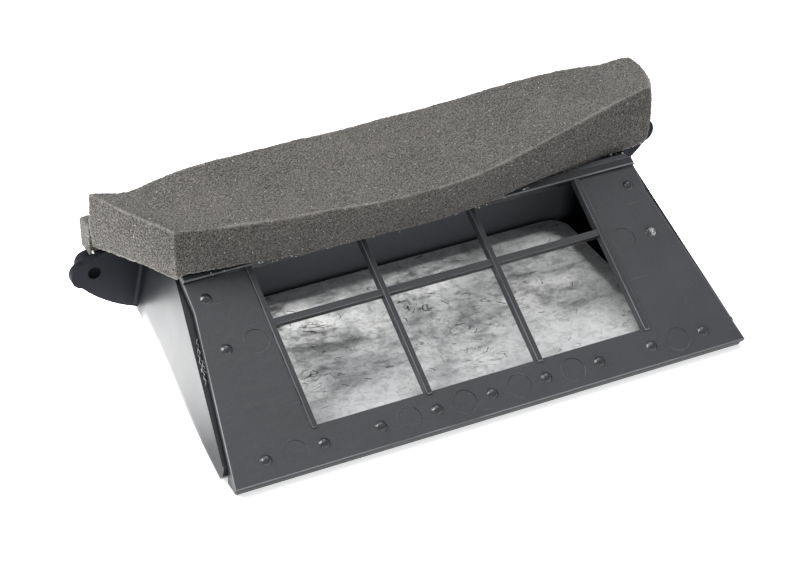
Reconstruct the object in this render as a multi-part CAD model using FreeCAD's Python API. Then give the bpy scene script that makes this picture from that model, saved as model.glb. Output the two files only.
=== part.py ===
"""Air filter housing: a moulded wedge box with a sloped grille, filter media and foam seals.

Millimetres. X runs along the length, Y from the sloped front to the rear wall, Z up.
The shapes are drawn with Y counted from the front edge of the grille, and every solid is
moved at the end so that the origin is the bottom centre of the whole housing.
"""
import FreeCAD, Part
import math
import os

# ---- wedge: slope and depth -------------------------------------------------------------
slope_deg = 31.4          # tilt of the front panel above the resting plane
rear_wall_y = 115.5       # front face of the upright rear wall
rear_wall_t = 3.5
shell_height = 52.7       # top face of the short top wall
top_wall_t = 2.5
floor_t = 2.5
side_wall_t = 2.5
flange_t = 2.4            # sloped rim of the shell that the front panel is staked to

# ---- side walls lean inwards going up and taper slightly going back ---------------------
half_width = 118.6        # outer half width at the front, at floor level
side_lean = 0.21          # width lost per millimetre of height, each side
side_taper = 0.0265       # width lost per millimetre of depth, each side
corner_front_r = 1.6      # floor-to-side rounding at the front
corner_rear_r = 20.0      # the same rounding at the rear wall
nose_inset = 3.3          # the shell's front lip is narrower than its side walls
nose_depth = 10.5
notch_width = 4.0         # triangular relief just behind the front lip
notch_height = 4.2

# ---- front panel: lengths along the slope are counted from its lower or its upper edge --
plate_t = 2.6
plate_low_inset = 2.1     # from the side wall's foot to the panel's lower corner
plate_top_inset = 0.6     # from the side wall to the panel's edge at the top
plate_flare_drop = 16.0   # the flared sides turn parallel this far below the upper edge
plate_top_drop = 0.1      # the panel ends this much below the top wall's face
plate_edge_r = 0.6
window_bottom = 16.8
side_rib_inset = 28.5     # from the panel's upper side edge to the outer ribs
rib_w = 2.4
rib_proud = 0.9
rib_depth = 3.4           # how far the ribs go below the panel's face
rib_foot = 1.2            # how far the ribs run down onto the panel below the window
rib_edge_r = 0.35
cross_rib_drop = 28.8
cross_rib_w = 3.0
lip_w = 3.8
lip_proud = 1.7
lip_rise = 0.8            # the lip runs this much past the plate's upper edge
lip_r = 0.8
ejector_r = 5.2
ejector_depth = 0.2
ejector_side_gap = 8.7    # from an outer rib to the ejector mark beside it
ejector_side_drop = 34.8
ejector_row_u = 8.4
ejector_row_steps = (0.5, 1.5, 3.5)   # places in the row, counted in stake pitches

# ---- heat stakes ------------------------------------------------------------------------
stakes_each_side = 4      # bottom row: one in the middle and four to each side
stake_end_gap = 16.5      # from the last stake of the row to the panel's lower corner
stake_row_u = 8.56
side_stake_inset = 6.8
side_stake_drops = (34.9, 11.6)
stake_shank_r = 1.5
stake_head_r = 2.4
stake_head_h = 1.3
stake_hole_clearance = 0.15

# ---- shell mouth behind the front panel -------------------------------------------------
mouth_margin = 11.7       # the mouth reaches this far past the outer ribs
mouth_bottom = 17.0       # slope distance where the open mouth starts
ledge_depth = 0.6         # step down of the rim outside the panel's side edges
ledge_under = 0.8         # how far the step goes under the panel
ledge_start_u = 12.0
cavity_front_y = 9.5

# ---- mounting ears ----------------------------------------------------------------------
ear_hole_out = 21.4       # from the side wall to the hole's centre
ear_hole_drop = 12.4      # from the top wall's face down to the hole's centre
ear_hole_r = 2.8
ear_upper_tip = (4.5, 5.3)     # points of the ear's outline, out and up from the hole
ear_tip = (9.8, 1.5)
ear_lower_tip = (5.8, -6.1)
ear_top_mid = (-5.0, 8.8)
ear_low_mid = (-3.4, -14.4)
ear_low_end = -21.7
ear_shoulder = (12.0, 1.2)     # where the upper edge starts, out and down from the shell
ear_root_r = 1.5
boss_r = 5.2              # boss on the ear's back that lengthens the hole
boss_length = 7.0

# ---- filter media, the raised land it lies on, and its bond -----------------------------
land_height = 3.5
land_inset = 0.6          # the land and the bond stop this much inside the sheet's edge
media_end_gap = 27.9      # from the side wall's foot to the end of the sheet
media_front_y = 17.5
media_rear_gap = 2.5
media_t = 1.6
media_corner_r = 9.0
bond_t = 0.4
land_w = 6.9

# ---- foam seals -------------------------------------------------------------------------
tape_t = 0.4
foam_height = 26.9        # main seal, above its tape
foam_rear_gap = 0.3       # the main seal stops just short of the rear wall's outer face
foam_left_front = (2.2, -5.3)  # past the panel's top edge, and from the top wall's front
foam_left_skew = 20.0     # the left end runs outwards towards the rear
foam_right_front = (13.2, 5.7)
foam_right_skew = 7.0
foam_bow = 9.7            # how far the front edge bows forward of the top wall's front
foam_lean = 6.0           # how far the top of the front face leans forward there
foam_clear = 0.3          # gap kept between the foam and the panel's lip
rear_foam_left_inset = 0.5     # from the ear holes to the strip's ends
rear_foam_right_inset = 9.5
rear_foam_t = 10.2
rear_foam_drop = 6.7      # the strip's lower edge, below the top wall's face
rear_foam_height = 14.2
rear_tape_t = 0.3
rear_tape_overhang = 6.0

# ---- values worked out from the sizes above ---------------------------------------------
slope = math.radians(slope_deg)
sin_s = math.sin(slope)
cos_s = math.cos(slope)
face_z = (plate_t + flange_t) * cos_s      # height of the front panel's lower edge
rear_face_y = rear_wall_y + rear_wall_t
depth = rear_face_y + rear_tape_t + rear_foam_t
panel_top_z = shell_height - plate_top_drop
panel_top_u = (panel_top_z - face_z) / sin_s   # slope length of the panel's face
FAR = 400.0                                # larger than the housing, for cutting solids

Vec = FreeCAD.Vector


def on_slope(x, u, d):
    """Point at length x, slope distance u, and d below the front panel's face."""
    return Vec(x, u * cos_s + d * sin_s, face_z + u * sin_s - d * cos_s)


def slope_u(z, d):
    """Slope distance at which the plane d below the panel's face reaches height z."""
    return (z - face_z + d * cos_s) / sin_s


def side_x(y, z):
    """Outer half width of the shell at a depth and a height."""
    return half_width - side_taper * y - side_lean * z


# ---- places that follow the shell's sizes ------------------------------------------------
top_front_y = on_slope(0, slope_u(shell_height, plate_t), plate_t).y
plate_half_low = half_width - plate_low_inset
plate_half_top = side_x(top_front_y, shell_height) - plate_top_inset
plate_flare_end = panel_top_u - plate_flare_drop
side_rib_x = plate_half_top - side_rib_inset
stake_pitch = (plate_half_low - stake_end_gap) / stakes_each_side
land_z = floor_t + land_height
media_half_length = half_width - media_end_gap
media_rear_y = rear_wall_y - media_rear_gap
ear_hole_z = shell_height - ear_hole_drop
ear_hole_x = side_x(rear_wall_y, ear_hole_z) + ear_hole_out


def prism(points, direction):
    wire = Part.makePolygon(points + [points[0]])
    return Part.Face(wire).extrude(direction)


def yz_prism(profile, x0, x1):
    """Solid with a constant (y, z) profile between two x values."""
    return prism([Vec(x0, y, z) for y, z in profile], Vec(x1 - x0, 0, 0))


def slope_block(x0, x1, u0, u1, d0, d1):
    """Box in the slope's own directions."""
    base = [on_slope(x0, u0, d1), on_slope(x1, u0, d1), on_slope(x1, u1, d1), on_slope(x0, u1, d1)]
    return prism(base, on_slope(0, 0, d0) - on_slope(0, 0, d1))


def slope_cylinder(x, u, radius, d_top, d_bottom):
    axis = on_slope(0, 0, d_top) - on_slope(0, 0, d_bottom)
    return Part.makeCylinder(radius, axis.Length, on_slope(x, u, d_bottom), axis)


def rounded_plate(half_x, y0, y1, z0, z1, radius):
    """Flat plate, centred in x, with rounded upright corners."""
    box = Part.makeBox(2 * half_x, y1 - y0, z1 - z0, Vec(-half_x, y0, z0))
    upright = [e for e in box.Edges if abs(e.tangentAt(e.FirstParameter).z) > 0.99]
    return box.makeFillet(radius, upright)


def stake_places():
    row = [(i * stake_pitch, stake_row_u) for i in range(-stakes_each_side, stakes_each_side + 1)]
    side_x_place = plate_half_top - side_stake_inset
    sides = [(sign * side_x_place, panel_top_u - drop)
             for sign in (-1, 1) for drop in side_stake_drops]
    return row + sides


def ejector_places():
    row = [(sign * steps * stake_pitch, ejector_row_u)
           for steps in ejector_row_steps for sign in (-1, 1)]
    sides = [(sign * (side_rib_x + ejector_side_gap), panel_top_u - ejector_side_drop)
             for sign in (-1, 1)]
    return row + sides


# ---- shell ------------------------------------------------------------------------------
def cut_sides(body, inset):
    """Trim a body to the leaning side planes, moved inwards by an inset."""
    for sign in (-1, 1):
        corners = []
        for y, z in ((-50, -50), (FAR, -50), (FAR, FAR), (-50, FAR)):
            corners.append(Vec(sign * (side_x(y, z) - inset), y, z))
        body = body.cut(prism(corners, Vec(sign * FAR, 0, 0)))
    return body


def round_low_sides(body, front_r, rear_r):
    """Cone-like rounding along both floor-to-side edges, small at the front."""
    for sign in (-1, 1):
        low_z = body.BoundBox.ZMin
        picked = []
        for edge in body.Edges:
            middle = edge.valueAt((edge.FirstParameter + edge.LastParameter) / 2)
            along = edge.tangentAt(edge.FirstParameter)
            if abs(middle.z - low_z) < 0.01 and abs(along.y) > 0.9 and middle.x * sign > 0:
                picked.append(edge)
        edge = max(picked, key=lambda e: e.Length)
        starts_in_front = edge.valueAt(edge.FirstParameter).y < edge.valueAt(edge.LastParameter).y
        radii = (front_r, rear_r) if starts_in_front else (rear_r, front_r)
        body = body.makeFillet(radii[0], radii[1], [edge])
    return body


def outer_wedge():
    nose_top = on_slope(0, 0, plate_t)
    nose_low = on_slope(0, 0, plate_t + flange_t)
    profile = [(nose_low.y, nose_low.z), (rear_face_y, 0), (rear_face_y, shell_height),
               (top_front_y, shell_height), (nose_top.y, nose_top.z)]
    wedge = cut_sides(yz_prism(profile, -FAR, FAR), 0)
    return round_low_sides(wedge, corner_front_r, corner_rear_r)


def inner_wedge():
    flange_back = plate_t + flange_t
    under_top = shell_height - top_wall_t
    top_front = on_slope(0, slope_u(under_top, flange_back), flange_back)
    low_u = (cavity_front_y - flange_back * sin_s) / cos_s
    low_front = on_slope(0, low_u, flange_back)
    profile = [(cavity_front_y, floor_t), (rear_wall_y, floor_t), (rear_wall_y, under_top),
               (top_front.y, top_front.z), (low_front.y, low_front.z)]
    lean_t = side_wall_t * math.hypot(1, side_lean)
    cavity = cut_sides(yz_prism(profile, -FAR, FAR), lean_t)
    return round_low_sides(cavity, corner_front_r, corner_rear_r - side_wall_t)


def shell_mouth():
    """Opening through the sloped flange, up to the underside of the top wall."""
    top_u = slope_u(shell_height - top_wall_t, plate_t)
    half = side_rib_x + mouth_margin
    return slope_block(-half, half, mouth_bottom, top_u, plate_t - 1, plate_t + flange_t + 1)


def plate_edge_x(u):
    """Half width of the front panel at a slope distance."""
    if u >= plate_flare_end:
        return plate_half_top
    return plate_half_low + (plate_half_top - plate_half_low) * u / plate_flare_end


def side_ledge(sign):
    """Shallow step in the rim between the panel's side edge and the side wall."""
    end_u = slope_u(shell_height, plate_t) + 1
    outline = [(half_width + 5, ledge_start_u), (half_width + 5, end_u)]
    outline += [(plate_edge_x(u) - ledge_under, u) for u in (end_u, plate_flare_end, ledge_start_u)]
    corners = [on_slope(sign * x, u, plate_t + ledge_depth) for x, u in outline]
    return prism(corners, on_slope(0, 0, plate_t - 1) - on_slope(0, 0, plate_t + ledge_depth))


def ear(sign):
    """Lug in the plane of the rear wall, with a bowed lower edge and a boss on its back."""
    def at(x, z):
        return Vec(sign * x, rear_wall_y, z)

    def by_hole(place):
        return at(ear_hole_x + place[0], ear_hole_z + place[1])
    low_z = ear_hole_z + ear_low_end
    root_x = side_x(rear_wall_y, ear_hole_z) - 2 * side_wall_t
    wall_top_x = side_x(rear_wall_y, shell_height)
    shoulder = at(wall_top_x + ear_shoulder[0], shell_height - ear_shoulder[1])
    low_root = at(side_x(rear_wall_y, low_z), low_z)
    top_in, wall_top, low_in = at(root_x, shell_height), at(wall_top_x, shell_height), at(root_x, low_z)
    edges = [
        Part.LineSegment(top_in, wall_top),
        Part.LineSegment(wall_top, shoulder),
        Part.Arc(shoulder, by_hole(ear_top_mid), by_hole(ear_upper_tip)),
        Part.Arc(by_hole(ear_upper_tip), by_hole(ear_tip), by_hole(ear_lower_tip)),
        Part.Arc(by_hole(ear_lower_tip), by_hole(ear_low_mid), low_root),
        Part.LineSegment(low_root, low_in),
        Part.LineSegment(low_in, top_in),
    ]
    face = Part.Face(Part.Wire([e.toShape() for e in edges]))
    lug = face.extrude(Vec(0, rear_wall_t, 0))
    back = Vec(0, 1, 0)
    lug = lug.fuse(Part.makeCylinder(boss_r, rear_wall_t / 2 + boss_length,
                                     by_hole((0, 0)) + back * rear_wall_t / 2, back))
    return lug.cut(Part.makeCylinder(ear_hole_r, rear_wall_t + boss_length + 2,
                                     by_hole((0, 0)) - back, back))


def ear_root(sign):
    """Concave web in the corner where an ear meets the leaning side wall."""
    low_z = ear_hole_z + ear_low_end + ear_root_r
    high_z = shell_height - ear_root_r
    wall_x = side_x(rear_wall_y, low_z)
    front_x = side_x(rear_wall_y - ear_root_r, low_z)
    bulge = ear_root_r * (1 - math.sqrt(0.5))

    def at(x, y):
        return Vec(sign * x, y, low_z)
    inside = at(wall_x - side_wall_t / 2, rear_wall_y + 1)
    inside_front = at(front_x - side_wall_t / 2, rear_wall_y - ear_root_r)
    wall_end = at(front_x, rear_wall_y - ear_root_r)
    ear_end = at(wall_x + ear_root_r, rear_wall_y)
    ear_behind = at(wall_x + ear_root_r, rear_wall_y + 1)
    edges = [
        Part.LineSegment(inside, inside_front),
        Part.LineSegment(inside_front, wall_end),
        Part.Arc(wall_end, at(wall_x + bulge, rear_wall_y - bulge), ear_end),
        Part.LineSegment(ear_end, ear_behind),
        Part.LineSegment(ear_behind, inside),
    ]
    face = Part.Face(Part.Wire([e.toShape() for e in edges]))
    rise = high_z - low_z
    return face.extrude(Vec(-sign * side_lean * rise, 0, rise))


def nose_cuts(sign):
    """Narrower front lip and the small triangular relief behind it."""
    nose_half = half_width - nose_inset
    lip = Part.makeBox(FAR, nose_depth + 50, FAR, Vec(nose_half, -50, -FAR / 2))
    relief_profile = [(nose_depth, 0), (nose_depth + notch_width, 0), (nose_depth, notch_height)]
    relief = yz_prism(relief_profile, nose_half - side_wall_t, nose_half + 10)
    both = lip.fuse(relief)
    return both if sign > 0 else both.mirror(Vec(0, 0, 0), Vec(1, 0, 0))


def land_outline(z0, z1):
    """Plate as large as the land under the media's margin."""
    return rounded_plate(media_half_length - land_inset, media_front_y + land_inset,
                         media_rear_y - land_inset, z0, z1, media_corner_r)


def land_opening(z0, z1):
    """Plate as large as the opening inside the land."""
    inset = land_inset + land_w
    return rounded_plate(media_half_length - inset, media_front_y + inset,
                         media_rear_y - inset, z0, z1, media_corner_r - 1)


def rear_shell():
    body = outer_wedge()
    for sign in (-1, 1):
        body = body.fuse(ear(sign)).fuse(ear_root(sign))
    for sign in (-1, 1):
        body = body.cut(nose_cuts(sign)).cut(side_ledge(sign))
    body = body.cut(inner_wedge()).cut(shell_mouth())
    body = body.fuse(land_outline(floor_t / 2, land_z))
    body = body.cut(land_opening(-1, land_z + 1))
    for x, u in stake_places():
        body = body.cut(slope_cylinder(x, u, stake_shank_r, plate_t - 1, plate_t + flange_t + 1))
    return body


# ---- front panel ------------------------------------------------------------------------
def panel_plate():
    end_u = slope_u(panel_top_z, plate_t) + 2
    outline = [(-plate_half_low, 0), (plate_half_low, 0), (plate_half_top, plate_flare_end),
               (plate_half_top, end_u), (-plate_half_top, end_u), (-plate_half_top, plate_flare_end)]
    lift = on_slope(0, 0, 0) - on_slope(0, 0, plate_t)
    plate = prism([on_slope(x, u, plate_t) for x, u in outline], lift)
    above = Part.makeBox(2 * FAR, FAR, FAR, Vec(-FAR, 0, panel_top_z))
    plate = plate.cut(above)
    rounded = []
    for edge in plate.Edges:
        middle = edge.valueAt((edge.FirstParameter + edge.LastParameter) / 2)
        u = middle.y * cos_s + (middle.z - face_z) * sin_s
        d = middle.y * sin_s - (middle.z - face_z) * cos_s
        if abs(d) < 0.01 and u < panel_top_u - 1:
            rounded.append(edge)
    return plate.makeFillet(plate_edge_r, rounded)


def panel_rib(x, u0):
    """Upright rib: rounded top edges, and a foot rounded down onto the panel."""
    rib = slope_block(x - rib_w / 2, x + rib_w / 2, u0, panel_top_u - lip_w + lip_rise + 0.6,
                      -rib_proud, rib_depth)
    foot = [e for e in rib.Edges
            if (e.CenterOfMass - on_slope(x, u0, -rib_proud)).Length < 0.01]
    rib = rib.makeFillet(rib_proud - 0.1, foot)
    middle = (on_slope(x, u0, -rib_proud) + on_slope(x, panel_top_u, -rib_proud)) / 2
    long_edges = [e for e in rib.Edges if e.Length > panel_top_u / 2
                  and (e.CenterOfMass - middle).Length < rib_w]
    return rib.makeFillet(rib_edge_r, long_edges)


def cross_rib(half_length):
    middle_u = panel_top_u - cross_rib_drop
    rib = slope_block(-half_length, half_length, middle_u - cross_rib_w / 2,
                      middle_u + cross_rib_w / 2, 0, rib_depth)
    long_edges = [e for e in rib.Edges if e.Length > half_length
                  and (e.CenterOfMass - on_slope(0, middle_u, 0)).Length < cross_rib_w / 2 + 0.01]
    return rib.makeFillet(rib_edge_r, long_edges)


def panel_lip(grow):
    """Raised lip along the upper edge; a larger one is used to clear the foam."""
    top_u = panel_top_u + lip_rise
    return slope_block(-plate_half_top - grow, plate_half_top + grow, top_u - lip_w - grow,
                       top_u + grow, -lip_proud - grow, 0.6 + grow)


def rounded_lip():
    lip = panel_lip(0)
    raised = [e for e in lip.Edges
              if abs(e.CenterOfMass.y * sin_s - (e.CenterOfMass.z - face_z) * cos_s + lip_proud) < 0.01]
    return lip.makeFillet(lip_r, raised)


def front_panel():
    body = panel_plate()
    half_window = side_rib_x - rib_w / 2
    body = body.cut(slope_block(-half_window, half_window, window_bottom,
                                panel_top_u + lip_rise - lip_w, -1, plate_t + 1))
    for place in (-1, -1 / 3, 1 / 3, 1):
        body = body.fuse(panel_rib(place * side_rib_x, window_bottom - rib_foot))
    body = body.fuse(cross_rib(half_window)).fuse(rounded_lip()).removeSplitter()
    # the ribs' hidden parts are trimmed where the shell's flange lies
    body = body.cut(slope_block(-FAR, FAR, -5, mouth_bottom, plate_t, plate_t + 20))
    for x, u in ejector_places():
        body = body.cut(slope_cylinder(x, u, ejector_r, -1, ejector_depth))
    for x, u in stake_places():
        radius = stake_shank_r + stake_hole_clearance
        body = body.cut(slope_cylinder(x, u, radius, -1, plate_t + 1))
    return body


def heat_stakes():
    """Pins through the panel and the flange, each with a domed head on the panel's face."""
    stakes = []
    ball_r = (stake_head_r ** 2 + stake_head_h ** 2) / (2 * stake_head_h)
    for x, u in stake_places():
        shank = slope_cylinder(x, u, stake_shank_r, 0, plate_t + flange_t)
        ball = Part.makeSphere(ball_r, on_slope(x, u, ball_r - stake_head_h))
        head = ball.common(slope_cylinder(x, u, 2 * stake_head_r, -2 * stake_head_h, 0))
        stakes.append(shank.fuse(head).removeSplitter())
    return Part.makeCompound(stakes)


# ---- filter media -----------------------------------------------------------------------
def filter_media():
    z0 = land_z + bond_t
    return rounded_plate(media_half_length, media_front_y, media_rear_y, z0, z0 + media_t,
                         media_corner_r)


def media_bond():
    """Bead of adhesive between the land and the margin of the media."""
    z1 = land_z + bond_t
    return land_outline(land_z, z1).cut(land_opening(land_z - 1, z1 + 1))


# ---- foam seals -------------------------------------------------------------------------
def foam_outline(z, lean):
    """Closed outline of the main seal: skewed ends and a front edge that bows forward."""
    rear_y = rear_face_y - foam_rear_gap
    left_x = -(plate_half_top + foam_left_front[0])
    right_x = plate_half_top + foam_right_front[0]
    left = Vec(left_x, top_front_y + foam_left_front[1] - lean * 0.3, z)
    right = Vec(right_x, top_front_y + foam_right_front[1], z)
    bow = Vec((left_x + right_x) / 2, top_front_y - foam_bow - lean, z)
    rear_left = Vec(left_x - foam_left_skew, rear_y, z)
    rear_right = Vec(right_x + foam_right_skew, rear_y, z)
    edges = [Part.Arc(left, bow, right), Part.LineSegment(right, rear_right),
             Part.LineSegment(rear_right, rear_left), Part.LineSegment(rear_left, left)]
    return Part.Wire([e.toShape() for e in edges])


def top_foam_seal():
    """Main seal; its underside is relieved where it reaches over the panel's lip."""
    z0 = shell_height + tape_t
    block = Part.makeLoft([foam_outline(z0, 0), foam_outline(z0 + foam_height, foam_lean)],
                          True, True)
    return block.cut(panel_lip(foam_clear))


def top_seal_tape():
    """Adhesive film on the top wall, kept inside both the wall and the foam."""
    margin = 1.0
    front_y = top_front_y + margin
    rear_y = rear_face_y - foam_rear_gap - margin
    left = side_x(rear_face_y, shell_height) - margin
    right_front_y = top_front_y + foam_right_front[1] + margin
    outline = [(-left, front_y), (0, front_y), (left, right_front_y), (left, rear_y), (-left, rear_y)]
    return prism([Vec(x, y, shell_height) for x, y in outline], Vec(0, 0, tape_t))


def rear_foam_strip():
    left = -(ear_hole_x - rear_foam_left_inset)
    right = ear_hole_x - rear_foam_right_inset
    return Part.makeBox(right - left, rear_foam_t, rear_foam_height,
                        Vec(left, rear_face_y + rear_tape_t, shell_height - rear_foam_drop))


def rear_strip_tape():
    """Adhesive film between the rear wall's upper band and the rear foam strip."""
    margin = 0.8
    half = side_x(rear_face_y, shell_height) + rear_tape_overhang
    return Part.makeBox(2 * half, rear_tape_t, rear_foam_drop - 2 * margin,
                        Vec(-half, rear_face_y, shell_height - rear_foam_drop + margin))


NODES = {
    "front_panel": front_panel,
    "rear_shell": rear_shell,
    "heat_stakes": heat_stakes,
    "filter_media": filter_media,
    "media_bond": media_bond,
    "top_foam_seal": top_foam_seal,
    "top_seal_tape": top_seal_tape,
    "rear_foam_strip": rear_foam_strip,
    "rear_strip_tape": rear_strip_tape,
}

os.makedirs("parts", exist_ok=True)
for node, make in NODES.items():
    shape = make()
    shape.translate(Vec(0, -depth / 2, 0))
    box = shape.BoundBox
    print(f"{node}: solids {len(shape.Solids)} valid {shape.isValid()} volume {shape.Volume:.0f} "
          f"x {box.XMin:.1f}..{box.XMax:.1f} y {box.YMin:.1f}..{box.YMax:.1f} "
          f"z {box.ZMin:.1f}..{box.ZMax:.1f}")
    shape.exportStep(f"parts/{node}.step")
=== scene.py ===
# %% [markdown]
# # Air filter housing
# A moulded wedge box with a sloped grille, a sheet of filter media in its floor and two foam
# seals. The hard mouldings come from the packed frame with their exact shapes. They only get
# their finishes here. The soft pieces and the small marks of hand work are modelled in Blender.
# Everything is in metres, in the frame's own place, so nothing needs fitting.

# %% Load the frame
import bpy
import math
import random
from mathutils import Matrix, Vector, noise as mnoise


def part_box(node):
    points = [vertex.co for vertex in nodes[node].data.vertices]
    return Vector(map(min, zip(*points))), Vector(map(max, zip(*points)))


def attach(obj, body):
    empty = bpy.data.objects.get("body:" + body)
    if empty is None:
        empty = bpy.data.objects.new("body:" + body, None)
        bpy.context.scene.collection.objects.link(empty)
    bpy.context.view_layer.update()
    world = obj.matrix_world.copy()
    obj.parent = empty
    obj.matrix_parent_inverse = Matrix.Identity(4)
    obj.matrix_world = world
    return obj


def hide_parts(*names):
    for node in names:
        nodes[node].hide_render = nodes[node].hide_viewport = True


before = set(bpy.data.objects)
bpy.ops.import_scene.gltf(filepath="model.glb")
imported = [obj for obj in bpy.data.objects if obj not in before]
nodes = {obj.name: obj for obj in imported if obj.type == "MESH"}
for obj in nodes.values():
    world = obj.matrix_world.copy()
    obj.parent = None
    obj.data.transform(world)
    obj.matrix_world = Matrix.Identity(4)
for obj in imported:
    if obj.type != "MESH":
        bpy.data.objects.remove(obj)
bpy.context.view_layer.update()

bpy.ops.object.select_all(action="DESELECT")
print("frame nodes:", ", ".join(sorted(nodes)))

# %% [markdown]
# ## Camera, light and floor
# A long lens from far away keeps the box's edges nearly parallel, as a catalogue shows them.
# The camera is turned by a quaternion made from its line of sight, which never tips over.
# It could also track an empty, but then the view would depend on a constraint.

# %% Camera
MIDDLE = Vector((-0.0097, 0.0113, 0.0244))
AZIMUTH, ELEVATION = math.radians(-26.23), math.radians(33.89)
LENS_MM, DISTANCE = 116.83, 1.08
away = Vector((math.sin(AZIMUTH) * math.cos(ELEVATION),
               -math.cos(AZIMUTH) * math.cos(ELEVATION), math.sin(ELEVATION)))
camera_data = bpy.data.cameras.new("camera")
camera_data.lens = LENS_MM
camera_data.sensor_width = 36
camera = bpy.data.objects.new("camera", camera_data)
bpy.context.scene.collection.objects.link(camera)
camera.location = MIDDLE + away * DISTANCE
camera.rotation_mode = "QUATERNION"
camera.rotation_quaternion = (-away).to_track_quat("-Z", "Y")
bpy.context.scene.camera = camera
bpy.context.scene.view_settings.view_transform = "Standard"
print("camera stands", round(camera.location.length, 3), "m from the origin")

# %% [markdown]
# A helper for materials comes next. A material is a small graph: texture nodes make patterns
# from the piece's own Object coordinates, ramps turn the patterns into colours, and a bump node
# turns them into relief. Writing the graph through short functions keeps each finish to a few
# lines. The first ones turn a pattern into a colour and lay one colour over another.


# %% Graph and mixing
class Graph:
    """One material's node graph, built step by step."""

    def __init__(self, name, colour, roughness):
        self.material = bpy.data.materials.new(name)
        self.material.use_nodes = True
        self.tree = self.material.node_tree
        self.shader = self.tree.nodes["Principled BSDF"]
        self.shader.inputs["Base Color"].default_value = (*colour, 1)
        self.shader.inputs["Roughness"].default_value = roughness
        self.place = self.tree.nodes.new("ShaderNodeTexCoord").outputs["Object"]

    def link(self, source, target):
        self.tree.links.new(source, target)

    def map_range(self, value, low, high, to_low=0.0, to_high=1.0):
        """Stretch the span from low to high onto another span, and stop at its ends."""
        node = self.tree.nodes.new("ShaderNodeMapRange")
        for key, number in (("From Min", low), ("From Max", high),
                            ("To Min", to_low), ("To Max", to_high)):
            node.inputs[key].default_value = number
        self.link(value, node.inputs["Value"])
        return node.outputs["Result"]

    def ramp(self, value, stops):
        """Colour by value; a stop is (position, grey or colour)."""
        node = self.tree.nodes.new("ShaderNodeValToRGB")
        band = node.color_ramp
        while len(band.elements) < len(stops):
            band.elements.new(0.5)
        for element, (position, colour) in zip(band.elements, stops):
            element.position = position
            tone = colour if isinstance(colour, tuple) else (colour,) * 3
            element.color = (*tone, 1)
        self.link(value, node.inputs["Fac"])
        return node.outputs["Color"]

    def mix(self, amount, first, second, way="MIX"):
        """Blend two colours; each argument is a socket or a plain number or colour."""
        node = self.tree.nodes.new("ShaderNodeMix")
        node.data_type = "RGBA"
        node.blend_type = way
        factor, first_colour, second_colour, result = 0, 6, 7, 2   # the node's colour sockets
        for value, key in ((amount, factor), (first, first_colour), (second, second_colour)):
            if isinstance(value, tuple):
                node.inputs[key].default_value = (*value, 1)
            elif isinstance(value, (int, float)):
                node.inputs[key].default_value = value if key == factor else (*(value,) * 3, 1)
            else:
                self.link(value, node.inputs[key])
        return node.outputs[result]

    def times(self, first, second, amount=1.0):
        """Multiply two colours or masks."""
        return self.mix(amount, first, second, "MULTIPLY")

    def fade(self, mask, share):
        """Take a share of a mask's strength away."""
        return self.mix(share, mask, 0.0)


print("Graph has", ", ".join(key for key in vars(Graph) if key[0] != "_"))

# %% [markdown]
# Patterns are noise and cells in the piece's own coordinates, so they are solid: they run through
# the piece as grain runs through wood, and need no unwrapped map. A stretched space turns round
# clouds into streaks.


# %% Patterns
class Patterns(Graph):
    """Solid textures."""

    def stretched(self, scale, turn=(0, 0, 0)):
        """Object coordinates stretched and turned, for grain that has a direction."""
        node = self.tree.nodes.new("ShaderNodeMapping")
        node.inputs["Scale"].default_value = scale
        node.inputs["Rotation"].default_value = turn
        self.link(self.place, node.inputs["Vector"])
        return node.outputs["Vector"]

    def clouds(self, scale, detail=3, distortion=0.0, place=None, roughness=0.5):
        """Noise; its scale is in waves per metre."""
        node = self.tree.nodes.new("ShaderNodeTexNoise")
        node.inputs["Scale"].default_value = scale
        node.inputs["Detail"].default_value = detail
        node.inputs["Roughness"].default_value = roughness
        node.inputs["Distortion"].default_value = distortion
        self.link(place or self.place, node.inputs["Vector"])
        return node.outputs["Fac"]

    def cells(self, scale):
        """Distance to the nearest of many scattered points, for pores."""
        node = self.tree.nodes.new("ShaderNodeTexVoronoi")
        node.inputs["Scale"].default_value = scale
        self.link(self.place, node.inputs["Vector"])
        return node.outputs["Distance"]


print("Patterns adds", ", ".join(key for key in vars(Patterns) if key[0] != "_"))

# %% [markdown]
# Masks say where a finish applies. They could be painted by hand, but a mask that is worked out
# from the shape stays right when the shape changes. Some follow the place or the direction of a
# face, one finds sharp edges and one finds tight corners.


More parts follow.
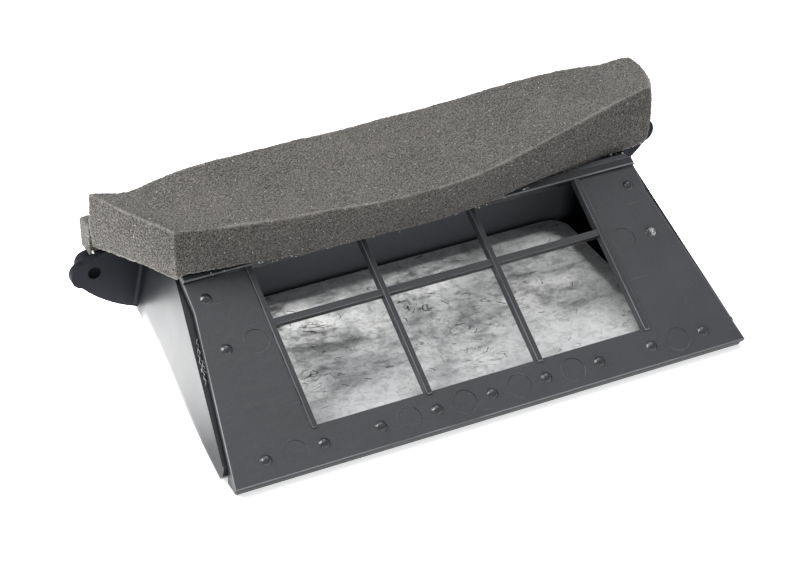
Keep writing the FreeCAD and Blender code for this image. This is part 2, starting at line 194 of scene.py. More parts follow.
# %% Masks
class Masks(Patterns):
    """Masks worked out from place, direction and shape."""

    def near(self, point, inner, outer, place=None):
        """A spot mask: 1 within the inner radius of a point, 0 past the outer one."""
        node = self.tree.nodes.new("ShaderNodeVectorMath")
        node.operation = "DISTANCE"
        node.inputs[1].default_value = point
        self.link(place or self.place, node.inputs[0])
        return self.ramp(self.map_range(node.outputs["Value"], inner, outer), [(0, 1.0), (1, 0.0)])

    def dot(self, first, second):
        """Dot product of a socket with a socket or a fixed direction."""
        node = self.tree.nodes.new("ShaderNodeVectorMath")
        node.operation = "DOT_PRODUCT"
        self.link(first, node.inputs[0])
        if isinstance(second, tuple):
            node.inputs[1].default_value = second
        else:
            self.link(second, node.inputs[1])
        return node.outputs["Value"]

    def normal(self, kind="Normal"):
        return self.tree.nodes.new("ShaderNodeNewGeometry").outputs[kind]

    def from_point(self, point):
        """The arm from a fixed point to each place on the surface."""
        node = self.tree.nodes.new("ShaderNodeVectorMath")
        node.operation = "SUBTRACT"
        node.inputs[1].default_value = point
        self.link(self.place, node.inputs[0])
        return node.outputs["Vector"]

    def outward(self, middle):
        """A mask of the faces that look away from a point, for the outside of a hollow box."""
        away_from_middle = self.dot(self.from_point(middle), self.normal("True Normal"))
        return self.map_range(away_from_middle, -0.002, 0.004)

    def facing_up(self, low, high):
        """A mask of the faces whose upward tilt lies between two values of the normal's z."""
        return self.map_range(self.dot(self.normal("True Normal"), (0, 0, 1)), low, high)

    def along(self, direction, low, high):
        """How far the surface looks along a direction, from 0 at low to 1 at high."""
        return self.map_range(self.dot(self.normal(), direction), low, high)

    def edges(self, radius):
        """A mask of a thin band along sharp edges, where a rounded normal leaves the true one."""
        rounded = self.tree.nodes.new("ShaderNodeBevel")
        rounded.samples = 6
        rounded.inputs["Radius"].default_value = radius
        return self.map_range(self.dot(rounded.outputs["Normal"], self.normal()), 0.96, 0.82)

    def corners(self, distance):
        """A value that falls to 0 in tight inner corners and gaps."""
        node = self.tree.nodes.new("ShaderNodeAmbientOcclusion")
        node.samples = 8
        node.inputs["Distance"].default_value = distance
        return node.outputs["AO"]


print("Masks adds", ", ".join(key for key in vars(Masks) if key[0] != "_"))

# %% [markdown]
# The last helpers put the result on the shader. Colour, roughness and relief may vary over a
# piece, so they take a socket. A number that is the same all over is set on the shader's own
# socket, because a linked one can be lost when the model is exported.


# %% Finishes
class Finish(Masks):
    """A whole material for one kind of surface."""

    def colour(self, source):
        self.link(source, self.shader.inputs["Base Color"])

    def roughness(self, value, low, high):
        self.link(self.map_range(value, 0.3, 0.7, low, high), self.shader.inputs["Roughness"])

    def relief(self, height, strength, distance):
        """Add one more bump on top of the ones already there."""
        node = self.tree.nodes.new("ShaderNodeBump")
        node.inputs["Strength"].default_value = strength
        node.inputs["Distance"].default_value = distance
        self.link(height, node.inputs["Height"])
        taken = self.shader.inputs["Normal"].links
        if taken:
            self.link(taken[0].from_socket, node.inputs["Normal"])
        self.link(node.outputs["Normal"], self.shader.inputs["Normal"])

    def set(self, **values):
        for key, value in values.items():
            self.shader.inputs[key.replace("_", " ")].default_value = value


def wear(node, finish):
    """Put a finish on every slot of a frame node."""
    data = nodes[node].data
    if not data.materials:
        data.materials.append(finish.material)
    for index in range(len(data.materials)):
        data.materials[index] = finish.material
    print(node, "wears", finish.material.name)


print("Finish adds", ", ".join(key for key in vars(Finish) if key[0] != "_"))

# %% [markdown]
# The box stands on a white sweep under two large soft lamps. The sweep glows a little itself, as an
# overlit studio table does. It is brightest in a pool at the box's left, which the glossy wall
# mirrors, and right under the floor's opening, where light comes up through the filter media.

# %% Floor and light
bpy.ops.mesh.primitive_plane_add(size=6, location=(0, 0, -0.0002))
sweep = bpy.context.object
sweep.name = "studio_floor"
DIM, BRIGHT, BELOW = (0.58,) * 3, (1.8,) * 3, (5.8,) * 3     # glow of the sweep, pool, opening
table = Finish("studio_white", (0.8, 0.8, 0.8), 0.9)
table.set(Emission_Strength=1.0)
left_pool = table.near((-0.185, 0.085, 0.0), 0.075, 0.135)
under_box = table.near((-0.010, 0.052, 0), 0.036, 0.085, table.stretched((0.38, 1, 1)))
glow = table.mix(left_pool, DIM, BRIGHT)
table.link(table.mix(under_box, glow, BELOW), table.shader.inputs["Emission Color"])
sweep.data.materials.append(table.material)

world = bpy.data.worlds.new("studio")
bpy.context.scene.world = world
world.use_nodes = True
sky = world.node_tree.nodes["Background"]
sky.inputs["Color"].default_value = (0.95, 0.97, 1.0, 1)
sky.inputs["Strength"].default_value = 0.6


def lamp(name, place, target, size, power):
    data = bpy.data.lights.new(name, "AREA")
    data.size = size
    data.energy = power
    light = bpy.data.objects.new(name, data)
    light.location = place
    light.rotation_euler = (Vector(target) - Vector(place)).to_track_quat("-Z", "Y").to_euler()
    bpy.context.scene.collection.objects.link(light)
    print(name, "gives", power, "watts over", size, "m")


lamp("soft_key", (-1.3, 0.55, 1.1), (0, 0, 0.03), 1.0, 27)
lamp("soft_top", (0.2, 0.5, 1.8), (0, 0, 0), 1.6, 15)

# %% [markdown]
# ## Satin moulded plastic of the front panel
# The panel is charcoal plastic with a fine even grain. Grain alone looks like a computer's
# surface, so three slower patterns lie over it: cloudy differences in gloss, faint flow lines
# from the moulding, and a few pale hairline scratches from handling. Painted shade darkens the
# undersides and the corners around ribs and stake heads. The tops of the ribs and of the lip,
# which stand proud of the plate, are darker too. Painted highlights lie in patches along sharp
# edges and rounded ones.

# %% Panel tone
SLOPE = math.radians(31.4)                 # the panel's slope above the table
PANEL_UP = (0, -math.sin(SLOPE), math.cos(SLOPE))
PANEL_FRONT = (0, -0.06475, 0.00427)       # a point of the panel's outer face, at its lower edge
panel_skin = Finish("panel_satin_plastic", (0.062, 0.065, 0.072), 0.42)
cloudy = panel_skin.clouds(38, 4, 0.4)
body_tone = panel_skin.ramp(cloudy, [(0.3, (0.040, 0.042, 0.047)), (0.7, (0.051, 0.053, 0.060))])
fine = panel_skin.clouds(1900, 2)
speckled = panel_skin.mix(0.35, body_tone, panel_skin.ramp(fine, [(0.35, 0.036), (0.7, 0.066)]))
hairline = panel_skin.clouds(1, 2, 0.6, panel_skin.stretched((60, 1500, 900), (0.2, 0.1, 0.5)))
scratches = panel_skin.fade(panel_skin.ramp(hairline, [(0.70, 0.0), (0.74, 1.0)]), 0.75)
toned = panel_skin.mix(scratches, speckled, (0.14, 0.145, 0.15))
print("panel tilts", round(math.degrees(SLOPE), 1), "degrees")

# %% [markdown]
# The painted shading comes next. Crevices and undersides are multiplied dark as painted shade,
# and painted highlights are laid along the edges. How far a face stands
# proud of the plate is its distance along the panel's own upward direction.

# %% Panel painted shade and highlights
# painted shade: the colour is darker in the corners around ribs and stake heads
painted_crevice_shade = panel_skin.ramp(panel_skin.corners(0.0016), [(0.35, 0.12), (0.75, 1.0)])
# painted shade: faces that look down are multiplied darker
painted_underside_shade = panel_skin.ramp(panel_skin.facing_up(-0.40, 0.0), [(0, 0.14), (1, 1.0)])
proud = panel_skin.map_range(panel_skin.dot(panel_skin.from_point(PANEL_FRONT), PANEL_UP), 0, 0.002)
raised = panel_skin.ramp(proud, [(0.15, 1.0), (0.3, 0.7), (0.6, 0.7), (0.7, 0.4)])
shaded = panel_skin.times(panel_skin.times(panel_skin.times(toned, painted_crevice_shade), painted_underside_shade), raised)
# painted highlight: a pale band along sharp edges, broken into patches
broken = panel_skin.ramp(panel_skin.clouds(110, 2), [(0.47, 0.0), (0.58, 1.0)])
painted_edge_highlight = panel_skin.times(panel_skin.edges(0.0008), broken)
shaded = panel_skin.mix(painted_edge_highlight, shaded, (0.16, 0.165, 0.17))
# painted highlight: rounded edges, whose faces tilt between the plate and its sides, are lighter in
# patches
painted_fillet_highlight = panel_skin.ramp(panel_skin.along(PANEL_UP, 0, 1),
                              [(0.15, 0.0), (0.4, 1.0), (0.9, 1.0), (0.985, 0.0)])
patches = panel_skin.ramp(cloudy, [(0.36, 0.4), (0.56, 1.0)])
painted_fillet_highlight = panel_skin.times(painted_fillet_highlight, patches)
panel_skin.colour(panel_skin.mix(painted_fillet_highlight, shaded, (0.19, 0.195, 0.205)))
panel_skin.roughness(cloudy, 0.36, 0.5)
panel_skin.relief(fine, 0.12, 0.0004)
panel_skin.relief(panel_skin.clouds(160, 3), 0.10, 0.002)
wear("front_panel", panel_skin)

# %% [markdown]
# ## Two finishes on the shell
# The shell's outer faces look polished: they are dark and mirror the table. Its inside and its
# ears look satin. Both finishes go in one material. A mask picks the faces that look away from
# the box's middle, ahead of the ears, and a second one picks the faces of the cavity.

# %% Shell masks
shell_skin = Finish("shell_two_finishes", (0.016, 0.017, 0.019), 0.2)
shell_skin.set(IOR=1.42)
outward = shell_skin.outward((0, 0, 0.025))
depth_there = shell_skin.dot(shell_skin.place, (0, 1, 0))
ahead = shell_skin.map_range(depth_there, 0.040, 0.047, 1.0, 0.0)
outside = shell_skin.times(outward, ahead)
cavity = shell_skin.mix(outward, shell_skin.near((0, 0, 0.02), 0.105, 0.113), 0.0)
polished_or_inside = shell_skin.mix(1.0, outside, cavity, "LIGHTEN")
print("shell masks: outside, cavity")

# %% [markdown]
# Each part of the shell gets its tone, and light dust lies over all. Painted shade darkens the
# inner corners and the cavity's floor, and a lighter grey paints light onto the cavity's walls.
# The ears and the rear face mirror next to nothing. Raising Metallic there takes away the clear
# mirror layer that all plastic shaders have, and leaves only the weak reflection of the dark
# base colour.

# %% Shell finish
sink = shell_skin.clouds(30, 2)
dust = shell_skin.clouds(2600, 2)
polished = shell_skin.ramp(sink, [(0.3, (0.012, 0.013, 0.015)), (0.7, (0.020, 0.021, 0.024))])
# painted shade: the colour is darker in the shell's inner corners
painted_corner_shade = shell_skin.ramp(shell_skin.corners(0.006), [(0.3, 0.1), (0.8, 1.0)])
# painted light and shade: the cavity's up-facing floor is near black, its walls a lit light grey
inner = shell_skin.mix(shell_skin.facing_up(0.3, 0.8), (0.185, 0.192, 0.208), (0.004, 0.004, 0.005))
inner = shell_skin.times(inner, painted_corner_shade)
satin = shell_skin.mix(cavity, (0.016, 0.017, 0.021), inner)
dusty = shell_skin.fade(shell_skin.ramp(dust, [(0.66, 0.0), (0.74, 1.0)]), 0.25)
clean = shell_skin.mix(outside, satin, polished)
shell_skin.colour(shell_skin.mix(dusty, clean, (0.07, 0.07, 0.07)))
gloss = shell_skin.map_range(outside, 0, 1, 0.6, 0.33)
shell_skin.link(gloss, shell_skin.shader.inputs["Roughness"])
mirrorless = shell_skin.map_range(polished_or_inside, 0, 1, 0.9, 0.0)
shell_skin.link(mirrorless, shell_skin.shader.inputs["Metallic"])
shell_skin.relief(sink, 0.12, 0.004)
shell_skin.relief(dust, 0.04, 0.0002)
wear("rear_shell", shell_skin)

# %% [markdown]
# ## Melted stake heads
# Each stake was pressed down hot, so its dome is glossy and slightly lumpy. One head near the
# right edge broke and was scuffed, and the bare plastic there turned whitish. A spot mask in the
# piece's own coordinates keeps the scuff on that one head.

# %% Stake finish
SCUFFED = (0.0993, -0.0166, 0.0348)        # middle of the scuffed head
stake_skin = Finish("melted_stake_plastic", (0.035, 0.037, 0.041), 0.28)
lumps = stake_skin.clouds(900, 3)
crumbs = stake_skin.clouds(1700, 4)
melted = stake_skin.ramp(lumps, [(0.3, (0.013, 0.014, 0.017)), (0.7, (0.024, 0.026, 0.030))])
scuff = stake_skin.times(stake_skin.near(SCUFFED, 0.0016, 0.0026),
                         stake_skin.ramp(crumbs, [(0.46, 0.1), (0.53, 1.0)]))
stake_skin.colour(stake_skin.mix(scuff, melted, (0.62, 0.61, 0.59)))
stake_skin.roughness(crumbs, 0.12, 0.3)
stake_skin.set(IOR=1.7)
stake_skin.relief(lumps, 0.3, 0.001)
wear("heat_stakes", stake_skin)

# %% [markdown]
# ## Adhesives
# The bead under the media and the films under the foam are thin and mostly hidden. They get a
# cloudy, waxy finish, because a cut edge of adhesive is never one even colour.

# %% Bond and tape finishes
bond_skin = Finish("bond_adhesive_wax", (0.35, 0.33, 0.28), 0.45)
bond_skin.colour(bond_skin.ramp(bond_skin.clouds(220, 4),
                                [(0.3, (0.25, 0.24, 0.2)), (0.7, (0.42, 0.40, 0.35))]))
bond_skin.relief(bond_skin.clouds(500, 3), 0.4, 0.001)
wear("media_bond", bond_skin)
tape_skin = Finish("tape_film_milky", (0.12, 0.12, 0.12), 0.5)
tape_skin.colour(tape_skin.ramp(tape_skin.clouds(400, 4), [(0.3, 0.03), (0.7, 0.12)]))
tape_skin.relief(tape_skin.clouds(900, 3), 0.3, 0.0005)
wear("top_seal_tape", tape_skin)
wear("rear_strip_tape", tape_skin)

# %% [markdown]
# ## Foam seals
# Each seal is a strip of open-cell foam, cut with a knife and bent by hand as it was stuck on,
# so no edge is straight. A cloth simulation suits stuffed fabric. A cut block of foam keeps its
# own shape, so here a finely divided cube is moved point by point onto smooth guide curves, then
# remeshed evenly and pitted by two displacements.

# %% Guide curves


def smooth_curve(points):
    """A function through (place, value) points, with soft steps between them."""
    def value(at):
        if at <= points[0][0]:
            return points[0][1]
        for k in range(len(points) - 1):
            (x0, v0), (x1, v1) = points[k], points[k + 1]
            if at <= x1:
                before = points[k - 1] if k else (x0 - (x1 - x0), v0)
                after = points[k + 2] if k + 2 < len(points) else (x1 + (x1 - x0), v1)
                m0 = (v1 - before[1]) / (x1 - before[0]) * (x1 - x0)
                m1 = (after[1] - v0) / (after[0] - x0) * (x1 - x0)
                t = (at - x0) / (x1 - x0)
                return (v0 * (2 * t**3 - 3 * t**2 + 1) + m0 * (t**3 - 2 * t**2 + t)
                        + v1 * (3 * t**2 - 2 * t**3) + m1 * (t**3 - t**2))
        return points[-1][1]
    return value


MM = 0.001
HALF_DEPTH = 64.75        # millimetres from the front edge to the frame's origin
BASE = 53.3               # millimetres from the table to the main seal's flat underside
front_low = smooth_curve([(-107, 77.7), (-89, 75.4), (-73, 74.3), (-58, 72.7), (-39, 71.9),
                          (-19, 71.4), (-2, 70.9), (12, 71.7), (40, 74.4), (65, 79.5),
                          (91, 84.4), (108, 85.9), (118, 88.6)])
front_high = smooth_curve([(-107, 77.4), (-94, 73.7), (-80, 71.1), (-61, 67.8), (-42, 66.5),
                           (-22, 63.8), (7, 63.3), (29, 66.2), (54, 72.5), (80, 79.2),
                           (107, 86.2), (118, 88.4)])
front_rise = smooth_curve([(-107, 76), (-94, 76), (-61, 75.5), (-22, 74.5), (7, 74.5), (29, 75),
                           (54, 76), (80, 78), (107, 79.8), (118, 80.3)])
rear_rise = smooth_curve([(-127, 76.8), (-114, 73.4), (-109, 73.4), (-98, 75.9), (-88, 77.3),
                          (-79, 78.0), (-52, 78.2), (-15, 77.9), (22, 78.4), (41, 79.0),
                          (61, 80.0), (80, 80.6), (90, 80.4), (100, 79.2), (110, 78.2),
                          (116, 78.6), (122, 78.9), (127, 77.6)])
low_rise = smooth_curve([(-129, 50.8), (-120, 52.6), (-108, BASE), (0, BASE), (128, BASE)])
print("main seal is", round(front_rise(0) - BASE, 1), "mm thick at the middle of its front")

# %% [markdown]
# Two functions place the points. Each takes a point of a cube with sides of 1 and gives its place
# on the seal. The main block spreads to the rear, its ends bulge a little, and a shallow groove
# lets it sit over the panel's lip. The strip behind is nearly straight.

# %% Places on the seals


def main_seal_point(a, b, c):
    """Place of a point of the unit cube on the main seal: a along, b to the rear, c up."""
    right = a > 0.5
    front_x = -107 + 225 * a
    rear_x = -127.5 + 253.0 * a
    end = abs(2 * a - 1) ** 12                    # 1 at both ends, 0 between them
    side_bulge = 0.8 * math.sin(math.pi * c) * end * (1 if right else -1)
    side_bulge += 3.0 * math.sin(math.pi * b) ** 0.7 * end * (1 if right else 0)
    x = front_x + (rear_x - front_x) * b + side_bulge
    y_front = front_low(front_x) + (front_high(front_x) - front_low(front_x)) * c
    y_front -= 1.0 * math.sin(math.pi * c) * (1 - b)
    y = y_front + (118.5 - y_front) * b
    z_low = low_rise(x) if b > 0.5 else BASE
    z_high = front_rise(front_x) + (rear_rise(rear_x) - front_rise(front_x)) * b
    z_high -= 0.8 * math.sin(math.pi * b)
    z = z_low + (z_high - z_low) * c
    over_lip = max(0.0, 1 - abs(y - 77.5) / 5.0)
    z += (1 - c) ** 3 * min(1.6, 2.6 * over_lip) * (1 if abs(x) < 106 else 0)
    return Vector((x, y - HALF_DEPTH, z)) * MM


def rear_strip_point(a, b, c):
    """Place of a point of the unit cube on the strip behind the rear wall."""
    x = -128.6 + 252.6 * a
    sag = 0.6 * math.sin(9 * a) * c
    return Vector((x, 119.5 + 9.7 * b - HALF_DEPTH, 46.3 + (13.6 + sag) * c)) * MM


print("main seal starts at", [round(v * 1000, 1) for v in main_seal_point(0, 0, 0)], "mm")


# %% [markdown]
# The block itself: a cube whose faces are divided into a grid, moved onto the curves, remeshed
# to even cells and displaced twice. The slow displacement makes the wavy knife cut and the
# fast one the open pores. An attribute named rim remembers how far each point stands out from a
# smoothed copy: it is high along the cut edges, where real foam catches the light.

# %% Foam builder


def displaced(piece, name, size, strength):
    """Push the surface in and out by soft noise of a given size."""
    pattern = bpy.data.textures.new(name, "CLOUDS")
    pattern.noise_scale = size
    pattern.noise_depth = 1
    bpy.ops.object.modifier_add(type="DISPLACE")
    step = piece.modifiers[-1]
    step.texture = pattern
    step.texture_coords = "LOCAL"
    step.strength = strength
    step.mid_level = 0.5
    bpy.ops.object.modifier_apply(modifier=step.name)


def mark_rim(piece, reach):
    """Store how far each point stands proud of a smoothed copy of the same mesh."""
    bpy.ops.object.duplicate()
    soft = bpy.context.object
    bpy.ops.object.modifier_add(type="SMOOTH")
    soft.modifiers[-1].factor = 0.5
    soft.modifiers[-1].iterations = 60
    bpy.ops.object.modifier_apply(modifier=soft.modifiers[-1].name)
    proud = [max(0.0, min(1.0, (v.co - s.co).dot(v.normal) / reach))
             for v, s in zip(piece.data.vertices, soft.data.vertices)]
    bpy.data.objects.remove(soft)
    layer = piece.data.attributes.new("rim", "FLOAT", "POINT")
    layer.data.foreach_set("value", proud)
    bpy.context.view_layer.objects.active = piece
    piece.select_set(True)


def foam_piece(name, place, grid, cell, reach):
    """A block of foam, from a cube moved onto its place and remeshed to even cells."""
    bpy.ops.object.select_all(action="DESELECT")
    bpy.ops.mesh.primitive_cube_add(size=1)
    piece = bpy.context.object
    piece.name = name
    bpy.ops.object.mode_set(mode="EDIT")
    bpy.ops.mesh.select_all(action="SELECT")
    bpy.ops.mesh.subdivide(number_cuts=grid)
    bpy.ops.object.mode_set(mode="OBJECT")
    for v in piece.data.vertices:
        v.co = place(v.co.x + 0.5, v.co.y + 0.5, v.co.z + 0.5)
    bpy.ops.object.modifier_add(type="REMESH")
    piece.modifiers[-1].mode = "VOXEL"
    piece.modifiers[-1].voxel_size = cell
    bpy.ops.object.modifier_apply(modifier=piece.modifiers[-1].name)
    displaced(piece, name + "_knife_wave", 0.016, 0.0006)
    mark_rim(piece, reach)
    displaced(piece, name + "_pores", 0.0005, 0.0009)
    bpy.ops.object.shade_smooth()
    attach(piece, "root")
    print(name, "has", len(piece.data.polygons), "faces")
    return piece


print("foam builder is ready")

# %% [markdown]
# The main block gets finer cells than the strip, because its ragged outline is seen up close.
# Each block replaces its plain solid.

# %% Foam blocks
main_seal = foam_piece("main_foam_seal", main_seal_point, 60, 0.00052, 0.0010)
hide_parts("top_foam_seal")
back_strip = foam_piece("back_foam_strip", rear_strip_point, 40, 0.0006, 0.0024)
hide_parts("rear_foam_strip")

# %% [markdown]
# ## Foam finish
# Open-cell foam is a net of pale struts around dark holes well under a millimetre wide. Cells of
# two sizes make the holes, a few bright points are struts that face the light, and the rim
# attribute lightens the cut edges.

# %% Foam material


def foam_finish(name, dark, light, glint):
    """Foam in three tones: its holes, its struts and the points that catch the light."""
    foam = Finish(name, light, 0.95)
    holes = foam.cells(1450)
    grain = foam.clouds(1500, 2, 0.0, None, 0.7)
    slow = foam.clouds(26, 3)
    tone = foam.ramp(holes, [(0.29, dark), (0.45, light)])
    tone = foam.mix(0.62, tone, foam.ramp(grain, [(0.47, dark), (0.55, light)]))
    tone = foam.mix(0.12, tone, foam.ramp(slow, [(0.35, dark), (0.7, light)]))
    sparks = foam.ramp(foam.clouds(1000, 1), [(0.70, 0.0), (0.75, 1.0)])
    tone = foam.mix(foam.fade(sparks, 0.2), tone, glint)
    rim = foam.tree.nodes.new("ShaderNodeAttribute")
    rim.attribute_name = "rim"
    edge = foam.map_range(rim.outputs["Fac"], 0.15, 0.8, 0.0, 0.5)
    foam.colour(foam.mix(edge, tone, glint))
    foam.relief(holes, 0.7, 0.0005)
    foam.relief(grain, 0.6, 0.0005)
    foam.set(Sheen_Weight=0.15, Sheen_Roughness=0.6, Specular_IOR_Level=0.2)
    print(name, "has", len(foam.tree.nodes), "nodes")
    return foam.material


main_seal.data.materials.append(foam_finish(
    "seal_foam_brown_grey", (0.001, 0.001, 0.001), (0.185, 0.174, 0.160), (0.50, 0.475, 0.44)))
back_strip.data.materials.append(foam_finish(
    "strip_foam_grey", (0.005, 0.004, 0.004), (0.20, 0.191, 0.179), (0.57, 0.55, 0.52)))

# %% [markdown]
# ## Filter media
# The media is one cut sheet of pressed fibre laid on a raised land around the floor's opening.
# It starts as a grid the size of the frame's sheet. Its corners are rounded by moving the
# points of the outline, slow waves lift it here and there, and a Solidify modifier makes the
# wall.

# %% Media sheet
low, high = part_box("filter_media")
SHEET_T = 0.0012           # thickness of the pressed fibre
CLEARANCE = 0.0001         # gap above the land, so that faces do not lie in one plane
corner = 0.009
sheet_w, sheet_l = high[0] - low[0], high[1] - low[1]
bpy.ops.object.select_all(action="DESELECT")
bpy.ops.mesh.primitive_grid_add(x_subdivisions=180, y_subdivisions=96, size=1)
media = bpy.context.object
media.name = "filter_media_sheet"
middle_y = (low[1] + high[1]) / 2


def rounded_corner(x, y):
    """Pull a point of a rectangle's corner square onto the rounded corner."""
    inner_x, inner_y = sheet_w / 2 - corner, sheet_l / 2 - corner
    over_x, over_y = abs(x) - inner_x, abs(y) - inner_y
    if over_x > 0 and over_y > 0:
        largest = max(over_x, over_y)
        shrink = largest / math.hypot(over_x, over_y)
        over_x, over_y = over_x * shrink, over_y * shrink
        x = math.copysign(inner_x + over_x, x)
        y = math.copysign(inner_y + over_y, y)
    return x, y


def media_height(x, y):
    """Height of the sheet's upper face: flat at the bonded margin, wavy inside it."""
    margin = min(sheet_w / 2 - abs(x), sheet_l / 2 - abs(y))
    free = max(0.0, min(1.0, (margin - 0.006) / 0.012))
    slow = mnoise.noise(Vector((x, y, 0.3)) * 42) * 0.0008
    quick = mnoise.noise(Vector((x, y, 1.7)) * 160) * 0.00025
    return low[2] + SHEET_T + CLEARANCE + (slow + quick) * free


for v in media.data.vertices:
    x, y = rounded_corner(v.co.x * sheet_w, v.co.y * sheet_l)
    v.co = (x, y + middle_y, media_height(x, y))
bpy.ops.object.modifier_add(type="SOLIDIFY")
media.modifiers[-1].thickness = SHEET_T
media.modifiers[-1].offset = -1
bpy.ops.object.modifier_apply(modifier=media.modifiers[-1].name)
bpy.ops.object.shade_smooth_by_angle(angle=math.radians(40))
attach(media, "root")
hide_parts("filter_media")
print("media sheet", round(sheet_w * 1000, 1), "x", round(sheet_l * 1000, 1), "mm")

# %% [markdown]
# ## Media finish
# Pressed fibre is never even: pale where it is dense, greyer in smudges, and folded in short
# crease lines. Slow clouds make the pale and grey areas, a stretched noise turned a little makes
# the smudges run one way, and the crease lines are thin ridges of a noise, kept to a few patches
# and painted dark as painted shade of the folds.

# %% Media material
fibre = Finish("media_pressed_fibre", (0.7, 0.7, 0.7), 0.6)
pale = fibre.clouds(34, 4, 0.6, None, 0.55)
smudges = fibre.clouds(1, 5, 0.9, fibre.stretched((34, 62, 20), (0, 0, 0.6)), 0.62)
tone = fibre.ramp(pale, [(0.32, (0.55, 0.555, 0.555)), (0.66, (0.74, 0.74, 0.735))])
tone = fibre.times(tone, fibre.ramp(smudges, [(0.34, 0.45), (0.46, 0.86), (0.58, 1.0)]), 0.75)
mottle = fibre.clouds(340, 4, 0.8, None, 0.65)
tone = fibre.times(tone, fibre.ramp(mottle, [(0.38, 0.62), (0.54, 1.0)]), 0.55)
crease_noise = fibre.clouds(1, 2, 1.4, fibre.stretched((60, 130, 40), (0, 0, 0.6)), 0.5)
# painted shade: thin dark lines where the sheet is creased
painted_crease_shade = fibre.ramp(crease_noise, [(0.484, 0.0), (0.5, 1.0), (0.516, 0.0)])
where = fibre.ramp(fibre.clouds(75, 2), [(0.55, 0.0), (0.62, 0.9)])
tone = fibre.mix(fibre.times(painted_crease_shade, where), tone, (0.12, 0.12, 0.12))
fibre.colour(tone)
fibre.relief(fibre.clouds(1300, 3), 0.2, 0.0003)
fibre.relief(smudges, 0.25, 0.002)
fibre.set(Subsurface_Weight=0.75, Subsurface_Radius=(1, 1, 1), Subsurface_Scale=0.0024)
media.data.materials.append(fibre.material)
print("media finish has", len(fibre.tree.nodes), "nodes")

# %% [markdown]
# ## Loose threads
# A few dark threads have come loose and lie on the sheet. Each is a short smooth curve with a
# thin round section. Hundreds of threads in the texture read as a pattern, but a handful with
# real thickness catch light and throw a small shadow.

# %% Threads on the media


def wires(name, paths, radius, finish):
    """Thin round wires along smooth paths, turned into one mesh."""
    bundle = bpy.data.curves.new(name, "CURVE")
    bundle.dimensions = "3D"
    bundle.bevel_depth = radius
    bundle.bevel_resolution = 1
    bundle.resolution_u = 3
    for path in paths:
        spline = bundle.splines.new("NURBS")
        spline.points.add(len(path) - 1)
        for point, place in zip(spline.points, path):
            point.co = (*place, 1)
        spline.order_u = 4
        spline.use_endpoint_u = True
    bpy.ops.object.select_all(action="DESELECT")
    piece = bpy.data.objects.new(name, bundle)
    bpy.context.scene.collection.objects.link(piece)
    bpy.context.view_layer.objects.active = piece
    piece.select_set(True)
    bpy.ops.object.convert(target="MESH")
    piece = bpy.context.object
    piece.data.materials.append(finish.material)
    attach(piece, "root")
    print(name, "has", len(paths), "wires and", len(piece.data.polygons), "faces")


WIRE_RADIUS = 0.00011
LIFT = 0.00006             # a thread's middle above the sheet; it sinks in a little
random.seed(11)
strands = []
for _ in range(34):
    x, y = random.uniform(-0.083, 0.083), random.uniform(-0.040, 0.038)
    heading = random.gauss(0.5, 0.7)
    path = []
    for _ in range(5):
        path.append((x, y + middle_y, media_height(x, y) + LIFT))
        step = random.uniform(0.0005, 0.0013)
        heading += random.uniform(-0.8, 0.8)
        x, y = x + step * math.cos(heading), y + step * math.sin(heading)
    strands.append(path)
dark_thread = Finish("dark_thread", (0.05, 0.05, 0.05), 0.7)
dark_thread.colour(dark_thread.ramp(dark_thread.clouds(500, 2), [(0.35, 0.03), (0.65, 0.14)]))
wires("media_threads", strands, WIRE_RADIUS, dark_thread)

# %% [markdown]
# ## Crumbs of adhesive and flash
# Small rough bits give away hand work: pale crumbs of adhesive along the foam's lower edge, and
# curls of plastic flash beside the panel's left edge. Specks in a texture would lie flat, so one
# crumb is modelled from an icosphere, squashed and roughened in edit mode, then copied to each
# place with its own mesh.

# %% Crumb builder


def crumb_pattern(name, size, squash, seed):
    """One rough crumb, from a ball squashed and roughened in edit mode."""
    bpy.ops.object.select_all(action="DESELECT")
    bpy.ops.mesh.primitive_ico_sphere_add(subdivisions=2, radius=size)
    crumb = bpy.context.object
    crumb.name = name
    bpy.ops.object.mode_set(mode="EDIT")
    bpy.ops.mesh.select_all(action="SELECT")
    bpy.ops.transform.resize(value=squash)
    bpy.ops.transform.vertex_random(offset=size * 0.45, seed=seed)
    bpy.ops.object.mode_set(mode="OBJECT")
    return crumb


def scatter(name, crumb, places, finish):
    """Copy a crumb to (x, y, z, size, turn) places and join the copies into one piece."""
    copies = []
    for x, y, z, size, turn in places:
        copy = bpy.data.objects.new(name, crumb.data.copy())
        bpy.context.scene.collection.objects.link(copy)
        copy.location = (x, y, z)
        copy.scale = (size, size, size)
        copy.rotation_euler = (turn, turn * 1.7, turn * 0.6)
        copies.append(copy)
    bpy.data.objects.remove(crumb)
    bpy.ops.object.select_all(action="DESELECT")
    for copy in copies:
        copy.select_set(True)
    bpy.context.view_layer.objects.active = copies[0]
    bpy.ops.object.join()
    bpy.ops.object.transform_apply(location=True, rotation=True, scale=True)
    piece = bpy.context.object
    piece.name = name
    piece.data.materials.append(finish.material)
    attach(piece, "root")
    print(name, "has", len(copies), "bits")


print("crumb builder is ready")


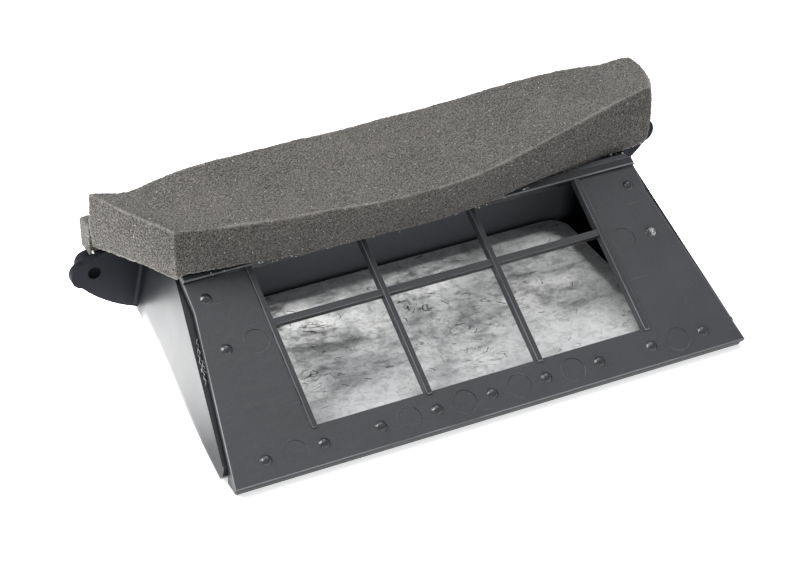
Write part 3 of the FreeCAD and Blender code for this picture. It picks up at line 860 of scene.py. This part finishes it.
# %% [markdown]
# The adhesive is milky. Its crumbs follow the same guide curve as the foam's lower front edge, so
# they stay on it wherever it bends. Three larger ones sit at the foam's ends.

# %% Adhesive crumbs
milky = Finish("adhesive_crumb", (0.75, 0.74, 0.70), 0.5)
milky.colour(milky.ramp(milky.clouds(1500, 2),
                        [(0.35, (0.35, 0.34, 0.32)), (0.65, (0.8, 0.79, 0.76))]))
specks = []
for _ in range(64):
    x = random.uniform(-106, 117)
    size = random.uniform(0.35, 1.0) * (1.3 if random.random() < 0.12 else 0.8)
    specks.append((x * MM, (front_low(x) - HALF_DEPTH - random.uniform(-0.2, 0.5)) * MM,
                   (53.2 + random.uniform(-0.4, 0.8)) * MM, size, random.uniform(0, 6)))
for x, y, z, size in ((-128.2, 116.2, 50.2, 1.8), (-121.4, 113.0, 52.2, 1.2),
                      (103.4, 84.0, 53.0, 1.6)):
    specks.append((x * MM, (y - HALF_DEPTH) * MM, z * MM, size, size))
speck = crumb_pattern("speck", 0.00040, (1, 1, 0.7), 3)
scatter("adhesive_crumbs", speck, specks, milky)

# %% [markdown]
# The flash is what the mould's parting line squeezed out: hair-thin curls of plastic that went
# pale where they bent. They are curves with a round section, like the threads.

# %% Flash beside the panel
flash_skin = Finish("flash_curl", (0.3, 0.3, 0.31), 0.35)
flash_skin.colour(flash_skin.ramp(flash_skin.clouds(900, 2), [(0.4, 0.10), (0.6, 0.55)]))
FACE_HEIGHT = 4.27        # millimetres from the table to the panel's outer face at its lower edge
curls = []
for start, length, side_step in ((66, 7, 0.5), (61, 9, 1.2), (57, 6, 0.2), (54, 8, 1.0)):
    path = []
    for k in range(9):
        up = start - length * k / 8
        below = 1.3 + 0.8 * math.sin(2.2 * k + start)
        side = -(108.0 + (60 - up) * 0.14 + side_step + 0.45 * math.cos(1.9 * k + start))
        path.append((side * MM, (up * math.cos(SLOPE) + below * math.sin(SLOPE) - HALF_DEPTH) * MM,
                     (FACE_HEIGHT + up * math.sin(SLOPE) - below * math.cos(SLOPE)) * MM))
    curls.append(path)
wires("panel_flash", curls, WIRE_RADIUS, flash_skin)

# %% Finish
print("scene is built")
